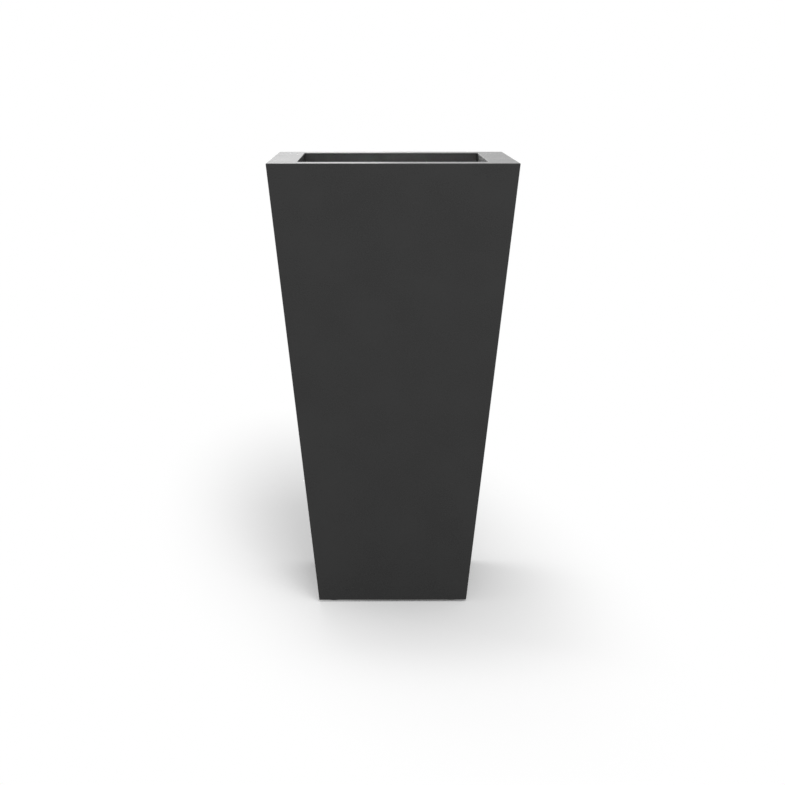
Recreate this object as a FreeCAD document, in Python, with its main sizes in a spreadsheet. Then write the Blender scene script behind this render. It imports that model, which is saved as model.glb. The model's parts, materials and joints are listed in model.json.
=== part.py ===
import FreeCAD, Part
import os
import re

import Sketcher

# A tall square planter that widens upwards. Four folded steel panels make the sides, the flat rim and the
# lip of the mouth. Corner angles, rim gussets, a base tray and shelf ledges bolt to weld studs on the panels'
# backs, a perforated shelf stands on the ledges, and four levelling feet screw into the tray.
# The origin is on the ground below the middle. The front faces -Y.

Vector = FreeCAD.Vector
Placement = FreeCAD.Placement
Rotation = FreeCAD.Rotation
UP = Vector(0, 0, 1)
ALONG_X = Vector(1, 0, 0)
QUARTER_TURN = 90
SIDES = ("front", "right", "rear", "left")
CORNERS = ("front_right", "rear_right", "rear_left", "front_left")
SAME_PLACE = 1e-4

# Driving dimensions in millimetres, with what each one is.
DIMENSIONS = {
    "top_width": (435, "outside width across the rim"),
    "base_width": (270, "outside width at the bottom edge"),
    "shell_height": (800, "bottom edge to rim"),
    "ground_gap": (4, "bottom edge above the ground"),
    "sheet": (1.5, "panel sheet"),
    "bend_radius": (1.2, "outside radius of the panels' grooved folds and dressed corners"),
    "rim_width": (51, "flat rim, outer edge to mouth"),
    "lip_drop": (30, "rim to the lip's lower edge"),
    "angle_sheet": (1.5, "corner angle sheet"),
    "angle_leg": (32, "corner angle leg"),
    "angle_bend": (2.5, "outside radius of a corner angle's fold"),
    "angle_foot_gap": (10, "tray to corner angle"),
    "angle_head_gap": (60, "corner angle to rim"),
    "corner_rows": (4, "studs along a corner angle's leg"),
    "corner_stud_inset": (18, "panel corner to stud"),
    "corner_stud_end": (40, "corner angle's end to its first stud"),
    "gusset_sheet": (2, "rim gusset plate"),
    "gusset_leg": (105, "rim gusset leg"),
    "gusset_gap": (3, "rim gusset to panel wall and to lip"),
    "gusset_corner": (6, "chamfer of a rim gusset's corners"),
    "gusset_stud_near": (50, "gusset's outer corner to its first stud"),
    "gusset_stud_far": (88, "gusset's outer corner to its second stud"),
    "tray_sheet": (1.5, "base tray sheet"),
    "tray_wall": (40, "height of the base tray"),
    "tray_bend": (2.5, "outside radius of the tray's folds"),
    "tray_stud_height": (27, "tray's underside to its studs"),
    "tray_stud_spacing": (130, "between the two tray studs of a side"),
    "drain_hole": (30, "drain hole in the tray"),
    "bush_bore": (20, "bore of the drain bush"),
    "bush_flange": (42, "across the drain bush's flanges"),
    "bush_flange_sheet": (2.5, "one flange of the drain bush"),
    "bush_clearance": (0.1, "drain bush in its hole, on the radius"),
    "plug_clearance": (0.3, "drain plug in its bush, on the radius"),
    "plug_tip": (1.5, "chamfer at the drain plug's lower end"),
    "plug_head": (34, "across the drain plug's head"),
    "plug_head_sheet": (4, "drain plug's head"),
    "plug_neck": (9, "across the drain plug's neck"),
    "plug_neck_height": (8, "drain plug's neck"),
    "plug_knob": (20, "across the drain plug's knob"),
    "plug_knob_height": (8, "drain plug's knob"),
    "plug_round": (2, "rounding of the drain plug's head and knob"),
    "shelf_height": (350, "shelf's top above the ground"),
    "shelf_sheet": (2, "shelf sheet"),
    "shelf_drop": (20, "shelf's top to the lower edge of its sides"),
    "shelf_bend": (3, "outside radius of the shelf's folds"),
    "shelf_notch": (37, "square notch in the shelf's corners, clear of the corner angles and their nuts"),
    "shelf_notch_round": (4, "inner corner radius of a notch"),
    "shelf_gap": (2, "shelf to panel wall, at the shelf's lower edge"),
    "mouth_clearance": (3, "shelf to lip, when it is lifted out"),
    "slot_length": (84, "finger slot"),
    "slot_width": (26, "finger slot"),
    "slot_round": (11, "corner radius of a finger slot"),
    "slot_inset": (38, "shelf's side to the middle of a finger slot"),
    "hole_rows": (5, "drain holes each way in the shelf"),
    "hole_diameter": (12, "drain hole in the shelf"),
    "hole_web": (10, "finger slot to drain hole"),
    "ledge_sheet": (2, "shelf ledge sheet"),
    "ledge_length": (150, "shelf ledge"),
    "ledge_leg": (36, "shelf ledge's leg on the panel"),
    "ledge_bearing": (14, "shelf ledge under the shelf's side"),
    "ledge_bend": (3, "outside radius of a shelf ledge's fold"),
    "ledge_stud_drop": (22, "shelf ledge's top to its studs"),
    "ledge_stud_spacing": (100, "between the two studs of a shelf ledge"),
    "stud_diameter": (5, "weld stud thread"),
    "stud_length": (10, "weld stud"),
    "stud_flange": (6.5, "across a weld stud's foot"),
    "stud_flange_sheet": (0.8, "weld stud's foot"),
    "stud_tip": (0.6, "chamfer at a weld stud's end"),
    "stud_hole": (7, "hole over a weld stud's foot"),
    "thread_clearance": (0.05, "nut on its stud, on the radius"),
    "nut_flats": (8, "across a flange nut's flats"),
    "nut_height": (5, "flange nut"),
    "nut_flange": (11.8, "across a nut's flange"),
    "nut_flange_sheet": (1.2, "nut's flange"),
    "foot_inset": (27, "tray's outer edge to a foot's axis"),
    "foot_diameter": (36, "foot pad"),
    "foot_height": (8, "foot pad"),
    "foot_edge": (3.5, "upright edge of a foot pad"),
    "foot_boss": (22, "across the flat top of a foot pad"),
    "foot_chamfer": (1, "lower edge of a foot pad"),
    "foot_thread": (8, "foot stud thread"),
    "foot_thread_length": (28, "foot stud above its collar"),
    "foot_thread_tip": (1, "chamfer at a foot stud's end"),
    "collar_flats": (13, "across the flats of a foot stud's collar"),
    "collar_height": (6, "foot stud's collar"),
    "spigot_diameter": (7, "foot stud's end in its pad"),
    "spigot_length": (4.5, "foot stud's end in its pad"),
    "spigot_clearance": (0.08, "foot stud's end in its pad, on the radius"),
    "spigot_end_gap": (0.5, "foot stud's end to the pad's socket floor"),
    "insert_flange": (1.5, "threaded insert's flange"),
    "insert_flange_width": (17, "across a threaded insert's flange"),
    "insert_body": (11, "across a threaded insert's body"),
    "insert_bulge": (15, "across a threaded insert's set bulge"),
    "insert_bulge_height": (5, "threaded insert's set bulge"),
    "insert_bulge_slope": (2, "set bulge to body"),
    "insert_clearance": (0.1, "foot stud in its insert, and insert in its hole, on the radius"),
    "insert_end": (1.5, "closed end of a threaded insert"),
    "insert_end_gap": (2, "foot stud's end to the insert's closed end"),
}


def outer_half(height):
    """Half the shell's outside width at a height above the ground."""
    return f"(base_width / 2 + slope * ({height} - ground_gap))"


def inner_half(height):
    """Half the width between the backs of two facing panels at a height above the ground."""
    return f"({outer_half(height)} - wall_run)"


# What follows from the driving dimensions, each worked out once.
DERIVED = {
    "slope": "(top_width - base_width) / 2 / shell_height",
    "secant": "sqrt(1 + slope ^ 2)",
    "lean": "slope / secant",
    "wall_run": "sheet * secant",
    "rim_top": "ground_gap + shell_height",
    "rim_under": "rim_top - sheet",
    "mouth_half": "top_width / 2 - rim_width",
    "tray_base": "foot_height + collar_height + insert_flange",
    "tray_floor": "tray_base + tray_sheet",
    "tray_top": "tray_base + tray_wall",
    "tray_run": "tray_sheet * secant",
    "foot_place": f"{inner_half('tray_base')} - foot_inset",
    "collar_top": "foot_height + collar_height",
    "foot_stud_top": "collar_top + foot_thread_length",
    "bush_top": "tray_floor + bush_flange_sheet",
    "bush_bottom": "tray_base - bush_flange_sheet",
    "angle_low": "tray_top + angle_foot_gap",
    "angle_high": "rim_top - angle_head_gap",
    "angle_run": "angle_sheet * secant",
    "gusset_outer": f"{inner_half('rim_under - gusset_sheet')} - gusset_gap",
    "gusset_inner": "mouth_half + sheet + gusset_gap",
    "ledge_top": "shelf_height - shelf_drop",
    "ledge_run": "ledge_sheet * secant",
    "shelf_half": f"min(mouth_half - mouth_clearance; {inner_half('ledge_top')} - shelf_gap)",
    "slot_place": "shelf_half - slot_inset",
    "hole_reach": "slot_place - slot_width / 2 - hole_web - hole_diameter / 2",
}

doc = FreeCAD.newDocument("tall_square_planter")
dims = doc.addObject("Spreadsheet::Sheet", "dims")
for row, (alias, (size, meaning)) in enumerate(DIMENSIONS.items(), 1):
    dims.set(f"A{row}", alias)
    dims.set(f"B{row}", str(size))
    dims.setAlias(f"B{row}", alias)
    dims.set(f"C{row}", meaning)
doc.recompute()
derived = doc.addObject("App::VarSet", "derived")
subparts = []


def full(expression):
    """The expression with the sheet's or the derived values' own name put before each value."""

    def owned(word):
        if word.group() in DIMENSIONS:
            return f"dims.{word.group()}"
        if word.group() in DERIVED:
            return f"derived.{word.group()}"
        return word.group()

    return re.sub(r"\b[a-z][a-z_]*\b", owned, expression)


def bind(item, **expressions):
    """Bind properties of an object. Two underscores stand for the dot in a property's path."""
    for path, expression in expressions.items():
        item.setExpression(path.replace("__", "."), full(expression))


def number(expression):
    return float(derived.evalExpression(full(expression)))


for value_name, value_expression in DERIVED.items():
    derived.addProperty("App::PropertyFloat", value_name)
    bind(derived, **{value_name: value_expression})
derived.addProperty("App::PropertyAngle", "wall_turn")
derived.setExpression("wall_turn", full("atan(slope) - 90 deg"))
doc.recompute()


def keep(item, label, count=1):
    """Name a finished sub-part, which has this many separate solids."""
    item.Label = label
    subparts.append((item, count))


# Sketches and features


def new_body(name):
    return doc.addObject("PartDesign::Body", name)


def start_sketch(body, name, role="XY_Plane", offset="0"):
    plane = next(item for item in body.Origin.OriginFeatures if item.Role == role)
    sketch = body.newObject("Sketcher::SketchObject", name)
    sketch.AttachmentSupport = [(plane, "")]
    sketch.MapMode = "FlatFace"
    bind(sketch, AttachmentOffset__Base__z=offset)
    return sketch


def constrain(sketch, kind, where, expression):
    index = sketch.addConstraint(Sketcher.Constraint(kind, *where, number(expression)))
    sketch.setExpression(f"Constraints[{index}]", full(expression))


def draw_outline(sketch, points):
    """A closed outline through points whose two coordinates are expressions."""
    first = sketch.GeometryCount
    places = [Vector(number(x), number(y), 0) for x, y in points]
    for start, end in zip(places, places[1:] + places[:1]):
        sketch.addGeometry(Part.LineSegment(start, end))
    for index, (x, y) in enumerate(points):
        line = first + index
        previous = first + (index - 1) % len(points)
        sketch.addConstraint(Sketcher.Constraint("Coincident", previous, 2, line, 1))
        constrain(sketch, "DistanceX", (-1, 1, line, 1), x)
        constrain(sketch, "DistanceY", (-1, 1, line, 1), y)


def draw_square(sketch, half):
    draw_outline(sketch, [(f"-{half}", f"-{half}"), (half, f"-{half}"), (half, half), (f"-{half}", half)])


def draw_box(sketch, x, y, width, depth):
    """A rectangle about a middle point."""
    left, right = f"{x} - {width} / 2", f"{x} + {width} / 2"
    low, high = f"{y} - {depth} / 2", f"{y} + {depth} / 2"
    draw_outline(sketch, [(left, low), (right, low), (right, high), (left, high)])


def draw_hexagon(sketch, flats):
    side, point = f"{flats} / 2", f"{flats} / sqrt(3)"
    shoulder = f"{point} / 2"
    draw_outline(
        sketch,
        [
            (side, f"-{shoulder}"),
            (side, shoulder),
            ("0", point),
            (f"-{side}", shoulder),
            (f"-{side}", f"-{shoulder}"),
            ("0", f"-{point}"),
        ],
    )


def draw_circle(sketch, x, y, radius):
    centre = Vector(number(x), number(y), 0)
    circle = sketch.addGeometry(Part.Circle(centre, UP, number(radius)))
    constrain(sketch, "DistanceX", (-1, 1, circle, 3), x)
    constrain(sketch, "DistanceY", (-1, 1, circle, 3), y)
    constrain(sketch, "Radius", (circle,), radius)


def add_pad(body, name, sketch, length, downwards=False, side_type="One side", leaning=None):
    """Extrude a sketch. A leaning pad moves sideways by these two amounts for each millimetre of length."""
    pad = body.newObject("PartDesign::Pad", name)
    pad.Profile = sketch
    pad.SideType = side_type
    pad.Reversed = downwards
    bind(pad, Length=length)
    if leaning:
        pad.UseCustomVector = True
        pad.AlongSketchNormal = True
        bind(pad, Direction__x=leaning[0], Direction__y=leaning[1], Direction__z="1")
    doc.recompute()


def cut_down(body, name, sketch, length):
    """Cut downwards from a level sketch. A cut that removes nothing is an error."""
    doc.recompute()
    before = body.Shape.Volume
    pocket = body.newObject("PartDesign::Pocket", name)
    pocket.Profile = sketch
    bind(pocket, Length=length)
    doc.recompute()
    if not body.Shape.Volume < before:
        raise RuntimeError(f"{name} cuts nothing")


def revolve(body, name, points):
    """A turned piece from its half section, given as radius and height."""
    section = start_sketch(body, f"{name}_section", "XZ_Plane")
    draw_outline(section, points)
    turned = body.newObject("PartDesign::Revolution", name)
    turned.Profile = section
    turned.ReferenceAxis = (section, ["V_Axis"])
    doc.recompute()


def tapered_block(body, name, kind, ends):
    """A square block, given by the height and the half width of its two ends."""
    (low, low_half), (high, high_half) = ends
    block = body.newObject(f"PartDesign::{kind}", name)
    block.Placement = Placement(Vector(), Rotation(ALONG_X, QUARTER_TURN))
    bind(block, Ymin=low, Ymax=high)
    bind(block, Xmin=f"-{low_half}", Xmax=low_half, Zmin=f"-{low_half}", Zmax=low_half)
    bind(block, X2min=f"-{high_half}", X2max=high_half, Z2min=f"-{high_half}", Z2max=high_half)
    doc.recompute()


def near(one, other):
    return abs(one - other) < SAME_PLACE


def on_corner_line(offset):
    """Whether a point is on one of the shell's four corner lines, moved in by an offset."""

    def rule(point):
        half = number(f"{outer_half(repr(point.z))} - ({offset})")
        return near(abs(point.x), half) and near(abs(point.y), half)

    return rule


def on_square(height, half):
    """Whether a point is on the outline of a level square."""

    def rule(point):
        return near(point.z, number(height)) and near(max(abs(point.x), abs(point.y)), number(half))

    return rule


def round_edges(body, name, radius, *rules):
    """Round the straight edges that follow one of the rules from end to end."""
    base = body.Tip
    names = []
    for index, edge in enumerate(base.Shape.Edges, 1):
        ends = [vertex.Point for vertex in edge.Vertexes]
        middle = edge.CenterOfMass
        straight = len(ends) == 2 and near(edge.Length, ends[0].distanceToPoint(ends[1]))
        if straight and any(all(rule(point) for point in (*ends, middle)) for rule in rules):
            names.append(f"Edge{index}")
    if not names:
        raise RuntimeError(f"{name} finds no edge")
    fillet = body.newObject("PartDesign::Fillet", name)
    fillet.Base = (base, names)
    bind(fillet, Radius=radius)
    doc.recompute()


def turned_by(side):
    """The placement that turns a piece of the front, or of the front right corner, to another side."""
    return Placement(Vector(), Rotation(UP, QUARTER_TURN * side))


# Fasteners: one of each kind, and copies of it seated on the panels


def on_wall(x, height, seat):
    """A place on the front panel's back, a seat height off the sheet, pointing squarely into the planter."""
    return {
        "Base__x": x,
        "Base__y": f"({seat}) / secant - {inner_half(height)}",
        "Base__z": f"{height} + ({seat}) * lean",
        "Rotation__Angle": "derived.wall_turn",
    }


def under_rim(x, seat):
    """A place on the underside of the front panel's rim, at a seat height off the sheet, pointing down."""
    return {
        "Base__x": x,
        "Base__y": "-(gusset_outer + gusset_inner) / 2",
        "Base__z": f"rim_under - ({seat})",
        "Rotation__Angle": f"{2 * QUARTER_TURN}",
    }


def both_hands(x):
    return [f"-({x})", x]


def corner_places(seat):
    step = "(angle_high - angle_low - 2 * corner_stud_end) / (corner_rows - 1)"
    places = []
    for row in range(int(number("corner_rows"))):
        height = f"(angle_low + corner_stud_end + {row} * {step})"
        places += [on_wall(x, height, seat) for x in both_hands(f"{inner_half(height)} - corner_stud_inset")]
    return places


def rim_places(seat):
    places = []
    for distance in ("gusset_stud_near", "gusset_stud_far"):
        places += [under_rim(x, seat) for x in both_hands(f"gusset_outer - {distance}")]
    return places


def ledge_places(seat):
    return [on_wall(x, "(ledge_top - ledge_stud_drop)", seat) for x in both_hands("ledge_stud_spacing / 2")]


def tray_places(seat):
    return [on_wall(x, "(tray_base + tray_stud_height)", seat) for x in both_hands("tray_stud_spacing / 2")]


def copies(name, piece, places):
    """Copies of one piece at places on the front panel, repeated on the other three sides."""
    links = []
    for index, place in enumerate(places):
        link = doc.addObject("App::Link", f"{name}_{index}")
        link.LinkedObject = piece
        # Every place is turned about the X axis, and its angle is one of the bound values.
        link.Placement = Placement(Vector(), Rotation(ALONG_X, QUARTER_TURN))
        bind(link, **{f"Placement__{path}": expression for path, expression in place.items()})
        links.append(link)
    front = doc.addObject("Part::Compound", f"{name}_front")
    front.Links = links
    sides = []
    for side, side_name in enumerate(SIDES):
        link = doc.addObject("App::Link", f"{name}_on_{side_name}")
        link.LinkedObject = front
        link.Placement = turned_by(side)
        sides.append(link)
    group = doc.addObject("Part::Compound", name)
    group.Links = sides
    doc.recompute()
    return group


def drill(blank, holes):
    piece = doc.addObject("Part::Cut", f"{blank.Name}_drilled")
    piece.Base = blank
    piece.Tool = holes
    return piece


def weld_stud():
    body = new_body("weld_stud")
    radius = "stud_diameter / 2"
    revolve(
        body,
        "stud",
        [
            ("0", "0"),
            ("stud_flange / 2", "0"),
            ("stud_flange / 2", "stud_flange_sheet"),
            (radius, "stud_flange_sheet"),
            (radius, "stud_length - stud_tip"),
            (f"{radius} - stud_tip", "stud_length"),
            ("0", "stud_length"),
        ],
    )
    return body


def flange_nut():
    body = new_body("flange_nut")
    flange = start_sketch(body, "nut_flange_outline")
    draw_circle(flange, "0", "0", "nut_flange / 2")
    add_pad(body, "nut_flange", flange, "nut_flange_sheet")
    hexagon = start_sketch(body, "nut_outline")
    draw_hexagon(hexagon, "nut_flats")
    add_pad(body, "nut_flats", hexagon, "nut_height")
    bore = start_sketch(body, "nut_bore_outline", offset="nut_height")
    draw_circle(bore, "0", "0", "stud_diameter / 2 + thread_clearance")
    cut_down(body, "nut_bore", bore, "nut_height")
    return body


def hole_drill():
    """What a stud's hole takes out, from one stud length below the sheet to one above it."""
    cutter = doc.addObject("Part::Cylinder", "hole_drill")
    bind(cutter, Radius="stud_hole / 2", Height="2 * stud_length")
    return cutter


stud = weld_stud()
nut = flange_nut()
drill_bit = hole_drill()
FASTENED = {
    "corner": (corner_places, "angle_sheet"),
    "rim": (rim_places, "gusset_sheet"),
    "ledge": (ledge_places, "ledge_sheet"),
    "tray": (tray_places, "tray_sheet"),
}
stud_holes = {}
for what, (places_for, seat_height) in FASTENED.items():
    stations = places_for("0")
    total = len(stations) * len(SIDES)
    keep(copies(f"{what}_studs", stud, stations), f"{what}_studs", total)
    keep(copies(f"{what}_nuts", nut, places_for(seat_height)), f"{what}_nuts", total)
    stud_holes[what] = copies(f"{what}_holes", drill_bit, places_for("-stud_length"))


# Panels


def shell_blank():
    """The four panels in one: tapered walls, the rim folded inwards and the lip folded down.

    The sheet is grooved along its folds, so they are tight outside and sharp inside.
    """
    body = new_body("shell_blank")
    outside = [("ground_gap", outer_half("ground_gap")), ("rim_top", outer_half("rim_top"))]
    inside = [("ground_gap", inner_half("ground_gap")), ("rim_under", inner_half("rim_under"))]
    tapered_block(body, "outside", "AdditiveWedge", outside)
    round_edges(body, "outer_folds", "bend_radius", on_corner_line("0"), on_square(*outside[1]))
    tapered_block(body, "inside", "SubtractiveWedge", inside)
    mouth = start_sketch(body, "mouth_outline", offset="rim_top")
    draw_square(mouth, "mouth_half")
    cut_down(body, "mouth", mouth, "2 * sheet")
    lip = start_sketch(body, "lip_outline", offset="rim_top")
    draw_square(lip, "mouth_half")
    draw_square(lip, "(mouth_half + sheet)")
    add_pad(body, "lip", lip, "lip_drop", downwards=True)
    round_edges(body, "mouth_fold", "bend_radius", on_square("rim_top", "mouth_half"))
    return body


def side_wedge(side):
    """What lies between the two mitre planes of a side."""
    wedge = doc.addObject("Part::Wedge", f"{SIDES[side]}_wedge")
    wedge.Placement = turned_by(side)
    middle = {"Ymax": "0", "X2min": "0", "X2max": "0"}
    ends = {"Zmin": "0", "Z2min": "0", "Zmax": "2 * rim_top", "Z2max": "2 * rim_top"}
    bind(wedge, Xmin="-top_width", Xmax="top_width", Ymin="-top_width", **middle, **ends)
    return wedge


blank_shell = shell_blank()
for side, side_name in enumerate(SIDES):
    panel = doc.addObject("Part::Common", f"{side_name}_side")
    panel.Base = blank_shell
    panel.Tool = side_wedge(side)
    keep(panel, f"{side_name}_panel")


# Corner angles and rim gussets


def corner_angle(corner):
    """A folded angle that lies against two panels from just above the tray to just below the rim."""
    body = new_body(f"angle_{CORNERS[corner]}")
    body.Placement = turned_by(corner)
    outer = inner_half("angle_low")
    inner = f"({outer} - angle_run)"
    leg_end = f"({outer} - angle_leg)"
    section = start_sketch(body, f"angle_section_{corner}", offset="angle_low")
    points = [
        (outer, f"-{outer}"),
        (outer, f"-{leg_end}"),
        (inner, f"-{leg_end}"),
        (inner, f"-{inner}"),
        (leg_end, f"-{inner}"),
        (leg_end, f"-{outer}"),
    ]
    draw_outline(section, points)
    add_pad(body, f"legs_{corner}", section, "angle_high - angle_low", leaning=("slope", "-slope"))
    round_edges(body, f"heel_{corner}", "angle_bend", on_corner_line("wall_run"))
    round_edges(body, f"throat_{corner}", "angle_bend - angle_sheet", on_corner_line("wall_run + angle_run"))
    return body


def rim_gusset(corner):
    """A flat L plate under the rim, across a mitre."""
    body = new_body(f"gusset_{CORNERS[corner]}")
    body.Placement = turned_by(corner)
    plate = start_sketch(body, f"gusset_outline_{corner}", offset="rim_under")
    outer, inner = "gusset_outer", "gusset_inner"
    leg_end = "(gusset_outer - gusset_leg)"
    nick = "gusset_corner"
    points = [
        (f"{outer} - {nick}", f"-{outer}"),
        (outer, f"-({outer} - {nick})"),
        (outer, f"-({leg_end} + {nick})"),
        (f"{outer} - {nick}", f"-{leg_end}"),
        (f"{inner} + {nick}", f"-{leg_end}"),
        (inner, f"-({leg_end} + {nick})"),
        (inner, f"-{inner}"),
        (f"{leg_end} + {nick}", f"-{inner}"),
        (leg_end, f"-({inner} + {nick})"),
        (leg_end, f"-({outer} - {nick})"),
        (f"{leg_end} + {nick}", f"-{outer}"),
    ]
    draw_outline(plate, points)
    add_pad(body, f"gusset_plate_{corner}", plate, "gusset_sheet", downwards=True)
    return body


for corner, corner_name in enumerate(CORNERS):
    keep(drill(corner_angle(corner), stud_holes["corner"]), f"corner_angle_{corner_name}")
    keep(drill(rim_gusset(corner), stud_holes["rim"]), f"rim_gusset_{corner_name}")


# Base tray, drain and feet


def foot_places():
    """Where each foot's axis is, by the name of its corner."""
    left, right = both_hands("foot_place")
    front, rear = left, right
    return {
        "front_left": (left, front),
        "front_right": (right, front),
        "rear_left": (left, rear),
        "rear_right": (right, rear),
    }


def base_tray():
    """The floor, folded up along the panels, with the drain hole and the holes of the feet's inserts."""
    body = new_body("tray")
    outside = [(height, inner_half(height)) for height in ("tray_base", "tray_top")]
    inside = [(height, f"({inner_half(height)} - tray_run)") for height in ("tray_floor", "tray_top")]
    tapered_block(body, "tray_outside", "AdditiveWedge", outside)
    round_edges(body, "tray_outer_folds", "tray_bend", on_corner_line("wall_run"), on_square(*outside[0]))
    tapered_block(body, "tray_inside", "SubtractiveWedge", inside)
    inner_corners = on_corner_line("wall_run + tray_run")
    round_edges(body, "tray_inner_folds", "tray_bend - tray_sheet", inner_corners, on_square(*inside[0]))
    holes = start_sketch(body, "tray_hole_outlines", offset="tray_floor")
    draw_circle(holes, "0", "0", "drain_hole / 2")
    for x, y in foot_places().values():
        draw_circle(holes, x, y, "insert_body / 2 + insert_clearance")
    cut_down(body, "tray_holes", holes, "2 * tray_sheet")
    return body


def drain_bush():
    """A flanged bush that grips the edge of the drain hole."""
    body = new_body("bush")
    bore, flange = "bush_bore / 2", "bush_flange / 2"
    waist = "drain_hole / 2 - bush_clearance"
    revolve(
        body,
        "bush_ring",
        [
            (bore, "bush_bottom"),
            (flange, "bush_bottom"),
            (flange, "tray_base"),
            (waist, "tray_base"),
            (waist, "tray_floor"),
            (flange, "tray_floor"),
            (flange, "bush_top"),
            (bore, "bush_top"),
        ],
    )
    return body


def drain_plug():
    """A stopper with a broad head that sits on the bush, and a knob to pull it by."""
    body = new_body("plug")
    shank = "bush_bore / 2 - plug_clearance"
    head_top = "bush_top + plug_head_sheet"
    knob_low = f"{head_top} + plug_neck_height"
    knob_top = f"{knob_low} + plug_knob_height"
    revolve(
        body,
        "plug_turned",
        [
            ("0", "bush_bottom"),
            (f"{shank} - plug_tip", "bush_bottom"),
            (shank, "bush_bottom + plug_tip"),
            (shank, "bush_top"),
            ("plug_head / 2", "bush_top"),
            ("plug_head / 2", f"{head_top} - plug_round"),
            ("plug_head / 2 - plug_round", head_top),
            ("plug_neck / 2", head_top),
            ("plug_neck / 2", knob_low),
            ("plug_knob / 2 - plug_round", knob_low),
            ("plug_knob / 2", f"{knob_low} + plug_round"),
            ("plug_knob / 2", f"{knob_top} - plug_round"),
            ("plug_knob / 2 - plug_round", knob_top),
            ("0", knob_top),
        ],
    )
    return body


def threaded_insert():
    """A closed insert set in the tray from below, which takes a foot's stud."""
    body = new_body("threaded_insert")
    bore = "foot_thread / 2 + insert_clearance"
    shaft, bulge, flange = "insert_body / 2", "insert_bulge / 2", "insert_flange_width / 2"
    bulge_top = "tray_floor + insert_bulge_height"
    bore_end = "foot_stud_top + insert_end_gap"
    revolve(
        body,
        "insert_turned",
        [
            (bore, "collar_top"),
            (flange, "collar_top"),
            (flange, "tray_base"),
            (shaft, "tray_base"),
            (shaft, "tray_floor"),
            (bulge, "tray_floor"),
            (bulge, f"{bulge_top} - insert_bulge_slope"),
            (shaft, bulge_top),
            (shaft, f"{bore_end} + insert_end"),
            ("0", f"{bore_end} + insert_end"),
            ("0", bore_end),
            (bore, bore_end),
        ],
    )
    return body


def foot_pad(name, x, y):
    """A round pad whose socket holds the end of the foot's stud."""
    body = new_body(f"pad_{name}")
    bind(body, Placement__Base__x=x, Placement__Base__y=y)
    edge, socket = "foot_diameter / 2", "spigot_diameter / 2 + spigot_clearance"
    socket_floor = "foot_height - spigot_length - spigot_end_gap"
    revolve(
        body,
        f"pad_turned_{name}",
        [
            ("0", "0"),
            (f"{edge} - foot_chamfer", "0"),
            (edge, "foot_chamfer"),
            (edge, "foot_edge"),
            ("foot_boss / 2", "foot_height"),
            (socket, "foot_height"),
            (socket, socket_floor),
            ("0", socket_floor),
        ],
    )
    return body


def foot_stud(name, x, y):
    """A foot's threaded stud: its end turns in the pad, its collar takes a spanner."""
    body = new_body(f"foot_screw_{name}")
    bind(body, Placement__Base__x=x, Placement__Base__y=y)
    spigot, thread = "spigot_diameter / 2", "foot_thread / 2"
    revolve(
        body,
        f"foot_screw_turned_{name}",
        [
            ("0", "foot_height - spigot_length"),
            (spigot, "foot_height - spigot_length"),
            (spigot, "collar_top"),
            (thread, "collar_top"),
            (thread, "foot_stud_top - foot_thread_tip"),
            (f"{thread} - foot_thread_tip", "foot_stud_top"),
            ("0", "foot_stud_top"),
        ],
    )
    collar = start_sketch(body, f"collar_outline_{name}", offset="foot_height")
    draw_hexagon(collar, "collar_flats")
    add_pad(body, f"collar_{name}", collar, "collar_height")
    return body


keep(drill(base_tray(), stud_holes["tray"]), "base_tray")
keep(drain_bush(), "drain_bush")
keep(drain_plug(), "drain_plug")
insert = threaded_insert()
set_inserts = []
for foot, (x, y) in foot_places().items():
    set_insert = doc.addObject("App::Link", f"insert_{foot}")
    set_insert.LinkedObject = insert
    bind(set_insert, Placement__Base__x=x, Placement__Base__y=y)
    set_inserts.append(set_insert)
    keep(foot_pad(foot, x, y), f"foot_pad_{foot}")
    keep(foot_stud(foot, x, y), f"foot_stud_{foot}")
inserts = doc.addObject("Part::Compound", "inserts")
inserts.Links = set_inserts
keep(inserts, "foot_inserts", len(set_inserts))


# Shelf and ledges


def planting_shelf():
    """A perforated plate with notched corners and its four long edges folded down, with two finger slots."""
    body = new_body("shelf")
    half = "shelf_half"
    cut = "(shelf_half - shelf_notch)"
    plate = start_sketch(body, "shelf_outline", offset="shelf_height")
    quarter = [(cut, f"-{half}"), (cut, f"-{cut}"), (half, f"-{cut}")]
    points = []
    for _ in range(len(CORNERS)):
        points += quarter
        quarter = [(f"-({y})", x) for x, y in quarter]
    draw_outline(plate, points)
    add_pad(body, "shelf_plate", plate, "shelf_sheet", downwards=True)
    sides = start_sketch(body, "shelf_side_outlines", offset="shelf_height")
    middle = "(shelf_half - shelf_sheet / 2)"
    for sign in ("-", ""):
        draw_box(sides, "0", f"{sign}{middle}", f"2 * {cut}", "shelf_sheet")
        draw_box(sides, f"{sign}{middle}", "0", "shelf_sheet", f"2 * {cut}")
    add_pad(body, "shelf_sides", sides, "shelf_drop", downwards=True)
    under = "shelf_height - shelf_sheet"
    round_edges(body, "shelf_outer_folds", "shelf_bend", on_long_edge("shelf_height", half))
    inner_edge = on_long_edge(under, f"{half} - shelf_sheet")
    round_edges(body, "shelf_inner_folds", "shelf_bend - shelf_sheet", inner_edge)
    round_edges(body, "notch_corners", "shelf_notch_round", on_notch_corner)
    slots = start_sketch(body, "slot_outlines", offset="shelf_height")
    for x in both_hands("slot_place"):
        draw_box(slots, x, "0", "slot_width", "slot_length")
    cut_down(body, "finger_slots", slots, "2 * shelf_sheet")
    round_edges(body, "slot_corners", "slot_round", on_slot_corner)
    holes = start_sketch(body, "drain_hole_outlines", offset="shelf_height")
    rows = range(int(number("hole_rows")))
    stations = [f"hole_reach * (2 * {row} / (hole_rows - 1) - 1)" for row in rows]
    for x in stations:
        for y in stations:
            draw_circle(holes, x, y, "hole_diameter / 2")
    cut_down(body, "drain_holes", holes, "2 * shelf_sheet")
    return body


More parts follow.
